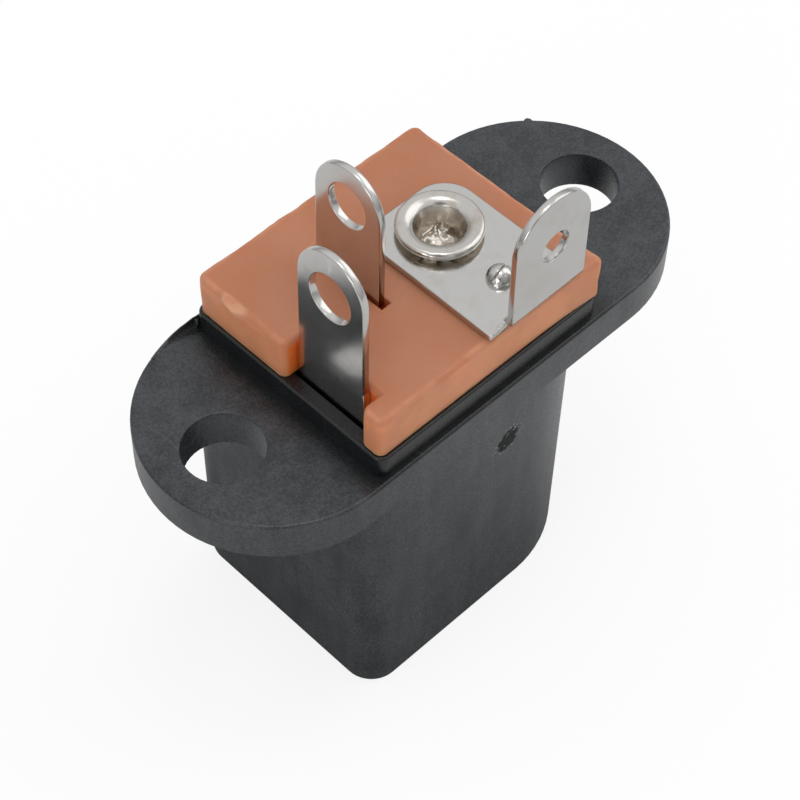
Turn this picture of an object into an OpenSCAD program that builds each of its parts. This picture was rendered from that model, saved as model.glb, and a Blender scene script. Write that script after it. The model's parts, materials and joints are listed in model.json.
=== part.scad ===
// Panel-mount DC barrel jack: moulded housing with two screw ears, an insulating
// plate on its back, and three soldering lugs. It stands on its plug face, so the
// barrel axis is vertical and +Z points to the soldering side.

/* [Housing] */
// Centre distance of the two screw holes
hole_pitch = 18; // [17:0.5:20]
// Diameter of a screw hole
hole_d = 3; // [2.4:0.1:3.4]
// Width of the flange, which is also the width of the body
flange_w = 10; // [9.6:0.1:11]
// Length of the flange from ear to ear
flange_l = 23.3; // [22.5:0.1:26]
// Thickness of the flange
flange_t = 1.7; // [1.2:0.1:2.5]
// Height from the plug face to the top of the flange
body_h = 13.1; // [12.5:0.1:16]
// Distance of the barrel axis from the middle between the screw holes
barrel_x = 1.4; // [1.2:0.1:1.6]
// Flat end of the body, measured from the middle between the screw holes
body_back = 6.75; // [6.6:0.05:7.2]
// How far each side of the body draws in on its way down to the plug face
draft = 0.1; // [0:0.02:0.2]
// Radius of the two upright corners of the flat end
corner_r = 1.3; // [0.5:0.1:2]
// Height of the rim that carries the plate
rim_h = 0.95; // [0.6:0.05:1.4]

/* [Plug barrel] */
// Diameter of the bore that takes the plug
bore_d = 6; // [5.8:0.1:6.4]
// Depth of the bore from the plug face
bore_depth = 10.2; // [9.5:0.1:10.8]
// Width of the bevel round the mouth of the bore
mouth_bevel = 0.4; // [0.2:0.1:0.6]
// Diameter of the centre pin
pin_d = 2.1; // [1.95:0.05:2.5]
// How far the tip of the pin stands back from the plug face
pin_recess = 1; // [0.6:0.1:2]

/* [Plate] */
// Length of the insulating plate
plate_l = 10.7; // [10.4:0.1:11]
// Width of the insulating plate
plate_w = 9.2; // [9:0.1:9.4]
// Thickness of the insulating plate
plate_t = 1.85; // [1.5:0.05:2.2]
// Radius of the plate's upright corners
plate_r = 0.3; // [0.2:0.05:1]

/* [Contacts] */
// Thickness of the contact sheet
sheet_t = 0.3; // [0.2:0.05:0.4]
// Width of the sleeve and switch lugs
lug_w = 3.2; // [2.8:0.1:3.4]
// Height of the lugs above the plate
lug_h = 5.15; // [4.5:0.05:7]
// Lean of the sleeve and switch lugs towards the barrel, in degrees
lug_lean = 2.5; // [0:0.5:4]
// Lean of the same two lugs sideways, away from the pin terminal's tab, in degrees
lug_tilt = 2.4; // [0:0.2:3]
// Diameter of the wire hole in the sleeve lug
sleeve_eye_d = 1.8; // [1:0.1:2]
// Diameter of the wire hole in the switch lug
switch_eye_d = 1.95; // [1:0.05:2]
// Width of the pin terminal's flat
flat_w = 4.4; // [4:0.1:4.8]
// Width of the pin terminal's upright tab
tab_w = 3.6; // [3:0.1:3.8]
// Diameter of the wire hole in the tab
tab_eye_d = 1.3; // [1:0.1:1.8]
// Diameter of the rolled-over head of the pin
head_d = 3.24; // [3:0.02:3.6]

/* [Hidden] */
$fn = 96;
eps = 0.01;

// Levels up from the plug face
flange_top = body_h;
flange_under = body_h - flange_t;
rim_top = body_h + rim_h;
plate_top = rim_top + plate_t;
flat_top = plate_top + sheet_t;
web_floor = 12.2;
chamber_floor = 1.2;

// Body outline
half_w = flange_w / 2;
ear_r = half_w;
ear_x = flange_l / 2 - ear_r;

// Thin web left by the mould between the rim and one ear
web_l = 1.9;
web_t = 0.16;
web_y = 4.64;
web_h = 0.45;
web_tip_h = 0.18;
web_tip_l = 0.15;
web_in = 0.5;

// Rim outline and the pocket inside it
rim_r = 0.45;
pocket_r = 0.3;
rim_x0 = -6.1;
rim_x1 = 4.85;
rim_y = 4.75;
pocket_x0 = -5.5;
pocket_x1 = 4.1;
pocket_y = 4;

// Spring chamber beside the bore, the window between them, and the cut at the
// window's top that lets the lug's lower end pass
chamber_x1 = -2.6;
chamber_y = 3.3;
window_y = 1.6;
window_x1 = -1;
window_z = 2.4;
cut_l = 0.75;
cut_gap = 0.15;

// Plate outline, the notch for the switch lug and the slot for the sleeve lug
plate_x0 = -5.97;
plate_x1 = plate_x0 + plate_l;
notch_x1 = -5.05;
notch_y0 = -3.6;
notch_y1 = 0.15;
mouth_r = 0.3;
slot_x0 = -2.42;
slot_x1 = -1.98;
slot_y0 = -1;
slot_y1 = 2.75;

// Lugs
sleeve_x = -2.2;
sleeve_y = 0.8;
switch_x = -5.27;
switch_y = -1.6;
leaf_w = 2.6;
lip_x = -3.15;
lip_h = 2.45;
bow_in = 20;
bow_out = 44;
tip_r = 0.8;
lug_top = plate_top + lug_h;
lean_z = plate_top - 0.3;
lug_in = 0.6;
sleeve_eye_drop = 1.65;
switch_eye_drop = 1.9;

// Pin terminal
flat_x0 = -0.8;
flat_y1 = 1.9;
flat_corner = 1.3;
tab_x0 = 0.05;
tab_cx = tab_x0 + tab_w / 2;
tab_outer_y = -4.85;
tab_top = plate_top + 5.3;
tab_eye_x = tab_cx + 0.1;
tab_eye_z = tab_top - 2.35;
bend_r = 0.25;
bend_y = tab_outer_y + sheet_t + bend_r;
shoulder_y = -4.6;
pip_x = 1.36;
pip_y = -3.01;
pip_d = 1.06;

// Centre pin
tip_round = 0.6;
shank_d = 2.8;
collar_d = 4.4;
collar_t = 1.1;
tail_d = 2.6;
head_h = 0.48;
roll_r = 0.17;
throat_d = 1.9;
throat_h = 0.3;
crater_d = 1.3;
crater_deep = 0.45;
pin_hole_d = 3;

// Points along a circular arc, in degrees
function arc(c, r, a0, a1, n = 12) =
    [for (i = [0:n]) c + r * [cos(a0 + (a1 - a0) * i / n), sin(a0 + (a1 - a0) * i / n)]];

// A bent strip is a list of steps: [length of the straight, turn in degrees, radius].
// This function gives where each step starts, as [x, z, heading].
function heading(a) = [cos(a), sin(a)];
function left_of(a) = [-sin(a), cos(a)];
function step_end(p, s) =
    let (d = sign(s[1]), q = [p[0], p[1]] + s[0] * heading(p[2]))
    let (c = q + d * s[2] * left_of(p[2]))
    let (e = c - d * s[2] * left_of(p[2] + s[1]))
    [e[0], e[1], p[2] + s[1]];
function starts(p, steps, i = 0) =
    i >= len(steps) ? [p] : concat([p], starts(step_end(p, steps[i]), steps, i + 1));

// One side of the strip, at a distance off to the left of its middle line
function side(p, steps, off) =
    let (at = starts(p, steps))
    [for (i = [0:len(steps) - 1])
        let (s = steps[i], a = at[i], d = sign(s[1]), n = abs(s[1]) > 0 ? 8 : 0)
        let (q = [a[0], a[1]] + s[0] * heading(a[2]), c = q + d * s[2] * left_of(a[2]))
        for (k = [-1:n])
            k < 0 ? [a[0], a[1]] + off * left_of(a[2])
                : n == 0 ? q + off * left_of(a[2])
                : c - (d * s[2] - off) * left_of(a[2] + s[1] * k / n)];

function reversed(v) = [for (i = [len(v) - 1:-1:0]) v[i]];

// Sheet bent along the steps, in the X-Z plane, w wide about the given y
module bent_sheet(start, steps, w, y = 0) {
    outline = concat(side(start, steps, sheet_t / 2),
                     reversed(side(start, steps, -sheet_t / 2)));
    translate([0, y + w / 2, 0])
        rotate([90, 0, 0])
            linear_extrude(w)
                polygon(outline);
}

// Rectangle with rounded corners between two opposite corners
module rounded_box(x0, x1, y, r) {
    for (sx = [x0 + r, x1 - r], sy = [-y + r, y - r])
        translate([sx, sy])
            circle(r);
    translate([x0 + r, -y])
        square([x1 - x0 - 2 * r, 2 * y]);
    translate([x0, -y + r])
        square([x1 - x0, 2 * (y - r)]);
}

// Outline of the flange: straight sides with a round ear at each end
module flange_outline() {
    for (x = [-ear_x, ear_x])
        translate([x, 0])
            circle(ear_r);
    translate([-ear_x, -ear_r])
        square([2 * ear_x, 2 * ear_r]);
}

// Body below the flange: flat end with rounded corners, round end about the barrel.
// All its sides are drafted, so the round parts are cones.
module body() {
    corner_x = -body_back + corner_r;
    corner_y = half_w - corner_r;
    translate([barrel_x, 0, 0])
        cylinder(r1 = half_w - draft, r2 = half_w, h = flange_under);
    for (y = [-corner_y, corner_y])
        translate([corner_x, y, 0])
            cylinder(r1 = corner_r - draft, r2 = corner_r, h = flange_under);
    translate([corner_x, 0, 0])
        rotate([90, 0, 90])
            linear_extrude(barrel_x - corner_x)
                polygon([[draft - half_w, 0], [half_w - draft, 0],
                         [half_w, flange_under], [-half_w, flange_under]]);
    translate([0, corner_y, 0])
        rotate([90, 0, 0])
            linear_extrude(2 * corner_y)
                polygon([[draft - body_back, 0], [barrel_x, 0],
                         [barrel_x, flange_under], [-body_back, flange_under]]);
}

// Plug bore with its bevelled mouth
module plug_bore() {
    translate([barrel_x, 0, 0])
        rotate_extrude()
            polygon([[0, -eps], [bore_d / 2 + mouth_bevel + eps, -eps],
                     [bore_d / 2, mouth_bevel], [bore_d / 2, bore_depth], [0, bore_depth]]);
}

// Everything that the back core leaves open: pocket, spring chamber and window
module back_cavity() {
    translate([0, 0, web_floor])
        linear_extrude(rim_top - web_floor + eps)
            rounded_box(pocket_x0, pocket_x1, pocket_y, pocket_r);
    translate([pocket_x0, -chamber_y, chamber_floor])
        cube([chamber_x1 - pocket_x0, 2 * chamber_y, rim_top - chamber_floor]);
    translate([chamber_x1 - eps, -window_y, window_z])
        cube([window_x1 - chamber_x1, 2 * window_y, rim_top - window_z]);
    translate([chamber_x1 - eps, -window_y, bore_depth])
        cube([cut_l, sleeve_y + lug_w / 2 + cut_gap + window_y, rim_top - bore_depth]);
}

// Thin web that runs from the rim out along the ear, on the far side
module moulding_web() {
    tip_x = rim_x0 - web_l;
    translate([0, web_y + web_t, flange_top - eps])
        rotate([90, 0, 0])
            linear_extrude(web_t)
                polygon([[tip_x, 0], [rim_x0 + web_in, 0], [rim_x0 + web_in, web_h],
                         [rim_x0, web_h], [tip_x + web_tip_l, web_tip_h]]);
}

module housing() {
    color([0.13, 0.13, 0.14])
        difference() {
            union() {
                body();
                translate([0, 0, flange_under])
                    linear_extrude(flange_t)
                        flange_outline();
                translate([0, 0, flange_under])
                    linear_extrude(rim_top - flange_under)
                        rounded_box(rim_x0, rim_x1, rim_y, rim_r);
                moulding_web();
            }
            for (x = [-hole_pitch / 2, hole_pitch / 2])
                translate([x, 0, flange_under - eps])
                    cylinder(d = hole_d, h = flange_t + 2 * eps);
            plug_bore();
            back_cavity();
            translate([barrel_x, 0, bore_depth - eps])
                cylinder(d = pin_hole_d, h = web_floor - bore_depth + 2 * eps);
        }
}

// Notch that opens at the plate's end, with rounded corners at its mouth
module notch_outline() {
    translate([plate_x0 - 1, notch_y0])
        square([notch_x1 - plate_x0 + 1, notch_y1 - notch_y0]);
    difference() {
        translate([plate_x0 - eps, notch_y0 - mouth_r])
            square([mouth_r + eps, notch_y1 - notch_y0 + 2 * mouth_r]);
        for (y = [notch_y0 - mouth_r, notch_y1 + mouth_r])
            translate([plate_x0 + mouth_r, y])
                circle(mouth_r);
    }
}

module plate_outline() {
    difference() {
        rounded_box(plate_x0, plate_x1, plate_w / 2, plate_r);
        notch_outline();
        translate([slot_x0, slot_y0])
            square([slot_x1 - slot_x0, slot_y1 - slot_y0]);
    }
}

module terminal_plate() {
    color([0.80, 0.49, 0.34])
        difference() {
            translate([0, 0, rim_top])
                linear_extrude(plate_t)
                    plate_outline();
            translate([barrel_x, 0, rim_top - eps])
                cylinder(d = tail_d, h = plate_t + 2 * eps);
        }
}

// Turned pin: rounded tip, thicker shank in the web, collar under the plate, and a
// tail that is rolled outwards over the terminal and left crushed in the middle
module centre_pin() {
    tip_r = pin_d / 2 - tip_round;
    crest_r = head_d / 2 - roll_r;
    crater_floor = flat_top - crater_deep;
    color([0.78, 0.77, 0.74])
        translate([barrel_x, 0, 0])
            rotate_extrude()
                polygon(concat(
                    [[0, pin_recess]],
                    arc([tip_r, pin_recess + tip_round], tip_round, -90, 0, 8),
                    [[pin_d / 2, bore_depth], [shank_d / 2, bore_depth]],
                    [[shank_d / 2, rim_top - collar_t], [collar_d / 2, rim_top - collar_t]],
                    [[collar_d / 2, rim_top], [tail_d / 2, rim_top], [tail_d / 2, flat_top]],
                    arc([crest_r, flat_top + head_h - roll_r], roll_r, -75, 105, 18),
                    [[throat_d / 2, flat_top + throat_h], [crater_d / 2, crater_floor]],
                    [[0, crater_floor - 0.1]]));
}

// Upper part of a lug, from its bend upwards: straight sides, a round top, a wire hole
module lug_head(h, eye_drop, eye_d) {
    difference() {
        union() {
            translate([0, h - lug_w / 2])
                circle(lug_w / 2);
            translate([-lug_w / 2, 0])
                square([lug_w, h - lug_w / 2]);
        }
        translate([0, h - eye_drop])
            circle(d = eye_d);
    }
}

// Lug cut from a sheet that stands upright up to lean_z, and leans both ways above it
module lug(x, y, z0, eye_drop, eye_d) {
    h = lug_top - lean_z;
    lean = [(h + sheet_t) * tan(lug_lean), h + sheet_t];
    drop = [0, z0 - sheet_t - lean_z];
    lap = 0.1;
    a = [-sheet_t / 2, lean_z];
    b = [sheet_t / 2, lean_z];
    intersection() {
        translate([x, y + lug_w, 0])
            rotate([90, 0, 0])
                linear_extrude(2 * lug_w)
                    polygon([a + drop, a, a + lean, b + lean, b, b + drop]);
        translate([x - lug_w / 2, y, 0])
            rotate([90, 0, 90])
                linear_extrude(lug_w) {
                    translate([0, lean_z])
                        rotate(-lug_tilt)
                            lug_head(h, eye_drop, eye_d);
                    translate([-lug_w / 2, z0])
                        square([lug_w, lean_z + lap - z0]);
                }
    }
}

// Flat strip round the pin's tail, with the tab turned up at the plate's edge
module pin_terminal() {
    color([0.80, 0.81, 0.82]) {
        difference() {
            union() {
                translate([0, 0, plate_top])
                    linear_extrude(sheet_t)
                        difference() {
                            union() {
                                for (x = [flat_x0 + flat_corner, flat_x0 + flat_w - flat_corner])
                                    translate([x, flat_y1 - flat_corner])
                                        circle(flat_corner);
                                translate([flat_x0 + flat_corner, 0])
                                    square([flat_w - 2 * flat_corner, flat_y1]);
                                translate([flat_x0, bend_y])
                                    square([flat_w, flat_y1 - flat_corner - bend_y]);
                                translate([flat_x0, shoulder_y])
                                    square([tab_x0 - flat_x0, bend_y - shoulder_y + bend_r]);
                            }
                            translate([barrel_x, 0])
                                circle(d = tail_d);
                        }
                translate([tab_x0, bend_y, flat_top + bend_r])
                    rotate([90, 0, 90])
                        linear_extrude(tab_w)
                            intersection() {
                                difference() {
                                    circle(bend_r + sheet_t);
                                    circle(bend_r);
                                }
                                translate([-bend_r - sheet_t, -bend_r - sheet_t])
                                    square(bend_r + sheet_t);
                            }
                translate([0, tab_outer_y + sheet_t, 0])
                    rotate([90, 0, 0])
                        linear_extrude(sheet_t)
                            difference() {
                                union() {
                                    translate([tab_cx, tab_top - tab_w / 2])
                                        circle(tab_w / 2);
                                    translate([tab_x0, flat_top + bend_r])
                                        square([tab_w, tab_top - tab_w / 2 - flat_top - bend_r]);
                                }
                                translate([tab_eye_x, tab_eye_z])
                                    circle(d = tab_eye_d);
                            }
                translate([pip_x, pip_y, flat_top - eps])
                    rotate_extrude()
                        polygon(concat([[0, 0]], arc([0, 0], pip_d / 2, 0, 90, 10)));
            }
        }
    }
}

// Lug through the slot, then a leaf that bows into the bore. Its run back from the
// bow is as long as it takes for the tip to lie against the switch contact's lip.
module sleeve_contact() {
    root = [sleeve_x, web_floor, -90];
    down = [1.9, bow_in, 1.5];
    bow = [2.55, -bow_in - bow_out, 1];
    tip_run = 1.3;
    bow_x = step_end(step_end(root, down), bow)[0];
    tip_x = lip_x - sheet_t;
    back_run = (bow_x - tip_x - tip_r * (1 - cos(bow_out))) / sin(bow_out);
    color([0.82, 0.82, 0.80]) {
        lug(sleeve_x, sleeve_y, web_floor - lug_in, sleeve_eye_drop, sleeve_eye_d);
        bent_sheet(root, [down, bow, [back_run, bow_out, tip_r],
                            [tip_run, 0, 0]], leaf_w);
    }
}

// Lug in the notch, a strip down the chamber wall, and a foot with an upturned lip
module switch_contact() {
    strip_top = rim_top - 2;
    foot_r = 0.4;
    strip_run = strip_top - chamber_floor - sheet_t / 2 - foot_r;
    foot_run = lip_x - switch_x - 2 * foot_r;
    color([0.82, 0.82, 0.80]) {
        lug(switch_x, switch_y, strip_top - lug_in, switch_eye_drop, switch_eye_d);
        bent_sheet([switch_x, strip_top, -90],
                   [[strip_run, 90, foot_r], [foot_run, 90, foot_r], [lip_h - foot_r, 0, 0]],
                   leaf_w);
    }
}

housing();
terminal_plate();
centre_pin();
pin_terminal();
sleeve_contact();
switch_contact();
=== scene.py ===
"""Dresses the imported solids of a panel-mount DC barrel jack.

Every solid gets a copy with softened, worn edges and a node-based finish: the black
moulding, the waxy plate, the rolled pin, the tab terminal and the two leaning lugs.
"""

import json
import logging
import math
from dataclasses import dataclass, field
from enum import Enum
from functools import cache
from typing import Any, Callable, Sequence

import bmesh
import bpy
from mathutils import Matrix, Vector, noise

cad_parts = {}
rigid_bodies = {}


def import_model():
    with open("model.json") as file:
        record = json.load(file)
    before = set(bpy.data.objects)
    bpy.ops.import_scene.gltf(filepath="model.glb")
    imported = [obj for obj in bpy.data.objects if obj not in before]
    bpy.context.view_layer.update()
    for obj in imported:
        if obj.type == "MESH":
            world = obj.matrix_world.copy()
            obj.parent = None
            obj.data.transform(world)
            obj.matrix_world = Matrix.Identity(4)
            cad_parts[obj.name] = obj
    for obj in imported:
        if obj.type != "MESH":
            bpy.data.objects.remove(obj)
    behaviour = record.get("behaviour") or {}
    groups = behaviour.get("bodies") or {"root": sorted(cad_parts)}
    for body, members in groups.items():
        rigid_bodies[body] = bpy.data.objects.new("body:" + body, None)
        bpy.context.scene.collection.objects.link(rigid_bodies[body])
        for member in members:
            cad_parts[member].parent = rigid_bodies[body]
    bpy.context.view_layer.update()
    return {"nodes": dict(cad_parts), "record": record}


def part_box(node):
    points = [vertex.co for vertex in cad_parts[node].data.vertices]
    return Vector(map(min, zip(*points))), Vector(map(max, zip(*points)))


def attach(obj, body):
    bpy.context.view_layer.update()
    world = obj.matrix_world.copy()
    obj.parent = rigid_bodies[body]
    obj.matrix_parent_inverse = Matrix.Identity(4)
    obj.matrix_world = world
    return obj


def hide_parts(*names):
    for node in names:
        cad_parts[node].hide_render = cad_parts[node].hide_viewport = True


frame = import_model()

MM = 0.001
SEED = 7
LEVEL = 0.01
WELD = 2e-6
FINE_WELD = 5e-7
FLAT = math.radians(0.3)
SHARP = math.radians(28)
Triple = tuple[float, float, float]
Colour = Triple
Span = tuple[float, float]
Box = tuple[Vector, Vector]
Axes = tuple["Signal", "Signal", "Signal"]
Rule = Callable[[Vector, Vector], float]
Move = Callable[[Vector], Vector]
log = logging.getLogger("dc_jack")


class Node(Enum):
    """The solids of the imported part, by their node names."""

    HOUSING = "housing"
    PLATE = "terminal_plate"
    PIN = "centre_pin"
    TERMINAL = "pin_terminal"
    SLEEVE = "sleeve_contact"
    SWITCH = "switch_contact"

    @cache
    def box(self) -> Box:
        """The solid's lowest and highest corner, in millimetres."""
        return tuple(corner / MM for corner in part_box(self.value))


@cache
def mount_place(name: str) -> Vector:
    """Finds where a mount of the record is.

    Args:
        name: The mount's name.

    Returns:
        Its place in millimetres.
    """
    mount = next(m for m in frame["record"]["mounts"] if m["name"] == name)
    return Vector(mount["pos_m"]) / MM


# ---- shader arithmetic


class Signal:
    """A socket of a shader tree that takes part in Python expressions."""

    def __init__(self, tree: "Tree", socket: bpy.types.NodeSocket | None) -> None:
        """Wraps a socket.

        Args:
            tree: The tree that owns the socket.
            socket: The output to wrap, or None after an output node.
        """
        self.tree = tree
        self.socket = socket

    def _maths(self, operation: str, first: Any, second: Any = None) -> "Signal":
        """Adds a Math node.

        Args:
            operation: The node's operation.
            first: Its first value or signal.
            second: Its second value or signal, if it has one.

        Returns:
            The node's output.
        """
        values = [first] if second is None else [first, second]
        return self.tree.add("ShaderNodeMath", {"operation": operation}, dict(enumerate(values)))

    def __add__(self, other: Any) -> "Signal":
        """Sum."""
        return self._maths("ADD", self, other)

    __radd__ = __add__

    def __sub__(self, other: Any) -> "Signal":
        """Difference."""
        return self._maths("SUBTRACT", self, other)

    def __rsub__(self, other: Any) -> "Signal":
        """Difference, reflected."""
        return self._maths("SUBTRACT", other, self)

    def __mul__(self, other: Any) -> "Signal":
        """Product."""
        return self._maths("MULTIPLY", self, other)

    __rmul__ = __mul__

    def __truediv__(self, other: Any) -> "Signal":
        """Quotient."""
        return self._maths("DIVIDE", self, other)

    def __abs__(self) -> "Signal":
        """Size without the sign."""
        return self._maths("ABSOLUTE", self)

    def most(self, other: Any) -> "Signal":
        """The larger of two."""
        return self._maths("MAXIMUM", self, other)

    def least(self, other: Any) -> "Signal":
        """The smaller of two."""
        return self._maths("MINIMUM", self, other)

    def between(self, low: float, high: float) -> "Signal":
        """Rises smoothly from 0 at low to 1 at high, and is held there outside them.

        Args:
            low: Where the result is 0. It may be above high, for a fall.
            high: Where the result is 1.

        Returns:
            The mask.
        """
        inputs = {"Value": self, "From Min": low, "From Max": high}
        return self.tree.add("ShaderNodeMapRange", {"interpolation_type": "SMOOTHSTEP"}, inputs)


class Tree:
    """The node tree of one material or world."""

    def __init__(self, owner: Any) -> None:
        """Empties the owner's node tree.

        Args:
            owner: A material or a world.
        """
        owner.use_nodes = True
        self.nodes = owner.node_tree.nodes
        self.links = owner.node_tree.links
        self.nodes.clear()

    def add(
        self,
        kind: str,
        settings: dict[str, Any] | None = None,
        inputs: dict[Any, Any] | None = None,
        output: Any = 0,
    ) -> Signal:
        """Adds one node.

        Args:
            kind: The node's type.
            settings: Its own settings, set before its sockets.
            inputs: A value or a signal for each socket, by name or number.
            output: The socket to return, by name or number.

        Returns:
            The wanted output.
        """
        node = self.nodes.new(kind)
        for key, value in (settings or {}).items():
            setattr(node, key, value)
        for key, value in (inputs or {}).items():
            if isinstance(value, Signal):
                self.links.new(value.socket, node.inputs[key])
            else:
                node.inputs[key].default_value = value
        return Signal(self, node.outputs[output] if len(node.outputs) else None)

    def place(self) -> Signal:
        """Where a point of the piece is, in metres."""
        return self.add("ShaderNodeTexCoord", output="Object")

    def axes(self, vector: Signal) -> Axes:
        """Takes a place in metres apart, into X, Y and Z in millimetres.

        Args:
            vector: The place.

        Returns:
            The three signals.
        """
        parts = [self.add("ShaderNodeSeparateXYZ", inputs={0: vector}, output=i) for i in range(3)]
        return tuple(part / MM for part in parts)

    def stretch(self, vector: Signal, scale: Triple, turn: Triple = (0, 0, 0)) -> Signal:
        """Turns and stretches a pattern.

        Args:
            vector: Coordinates to change.
            scale: Factor along each axis.
            turn: Rotation in degrees.

        Returns:
            The changed coordinates.
        """
        angles = tuple(math.radians(a) for a in turn)
        return self.add("ShaderNodeMapping", inputs={0: vector, "Rotation": angles, "Scale": scale})

    def cloud(self, vector: Signal, grain: float, detail: float = 3, rough: float = 0.5) -> Signal:
        """Cloudy noise.

        Args:
            vector: Coordinates in metres.
            grain: Size of its patches in millimetres.
            detail: Number of finer layers.
            rough: Strength of the finer layers.

        Returns:
            The noise, from 0 to 1.
        """
        inputs = {"Vector": vector, "Scale": 1 / (grain * MM), "Detail": detail, "Roughness": rough}
        return self.add("ShaderNodeTexNoise", inputs=inputs, output="Fac")

    def specks(self, vector: Signal, spacing: float, size: float, share: float) -> Signal:
        """Small scattered spots.

        Args:
            vector: Coordinates in metres.
            spacing: Distance between places that may hold a spot, in millimetres.
            size: Radius of a spot as a share of the spacing.
            share: How many of the places hold one.

        Returns:
            A mask that is 1 in the spots.
        """
        inputs = {"Vector": vector, "Scale": 1 / (spacing * MM)}
        near = self.add("ShaderNodeTexVoronoi", inputs=inputs, output="Distance")
        tint = self.add("ShaderNodeTexVoronoi", inputs=inputs, output="Color")
        pick = self.add("ShaderNodeSeparateXYZ", inputs={0: tint})
        return near.between(size, size * 0.6) * pick.between(share, share * 0.9)

    def scratches(self, vector: Signal, width: float, turns: Sequence[Triple]) -> Signal:
        """Thin rubbed lines in a few directions.

        Args:
            vector: Coordinates in metres.
            width: Distance between lines in millimetres, before they are thinned out.
            turns: Rotation of each set of lines, in degrees.

        Returns:
            A mask of the lines.
        """
        lines = None
        for turn in turns:
            along = self.cloud(self.stretch(vector, (1, 0.05, 1), turn), width, 1)
            patch = self.cloud(self.stretch(vector, (1, 1, 1), turn), width * 15, 1)
            line = along.between(0.73, 0.77) * patch.between(0.5, 0.62)
            lines = line if lines is None else lines.most(line)
        return lines

    def blend(self, factor: Any, first: Any, second: Any) -> Signal:
        """Mixes two colours.

        Args:
            factor: Share of the second one.
            first: A colour or a signal.
            second: A colour or a signal.

        Returns:
            The mixed colour.
        """
        ends = [c if isinstance(c, Signal) else (*c, 1) for c in (first, second)]
        inputs = {0: factor, 6: ends[0], 7: ends[1]}
        return self.add("ShaderNodeMix", {"data_type": "RGBA"}, inputs, 2)

    def bump(self, height: Signal, depth: float, strength: float = 1, over: Signal | None = None) -> Signal:
        """Turns a height into a normal.

        Args:
            height: Height from 0 to 1.
            depth: What a height of 1 stands for, in millimetres.
            strength: Share of the effect.
            over: A normal to add this one to.

        Returns:
            The normal.
        """
        inputs = {"Height": height, "Distance": depth * MM, "Strength": strength}
        if over:
            inputs["Normal"] = over
        return self.add("ShaderNodeBump", inputs=inputs)

    def finish(self, shader: Signal) -> None:
        """Sends a shader to the output.

        Args:
            shader: The surface or background shader.
        """
        world = any(node.type == "BACKGROUND" for node in self.nodes)
        kind = "ShaderNodeOutputWorld" if world else "ShaderNodeOutputMaterial"
        self.add(kind, inputs={"Surface": shader})


# ---- finishes


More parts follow.
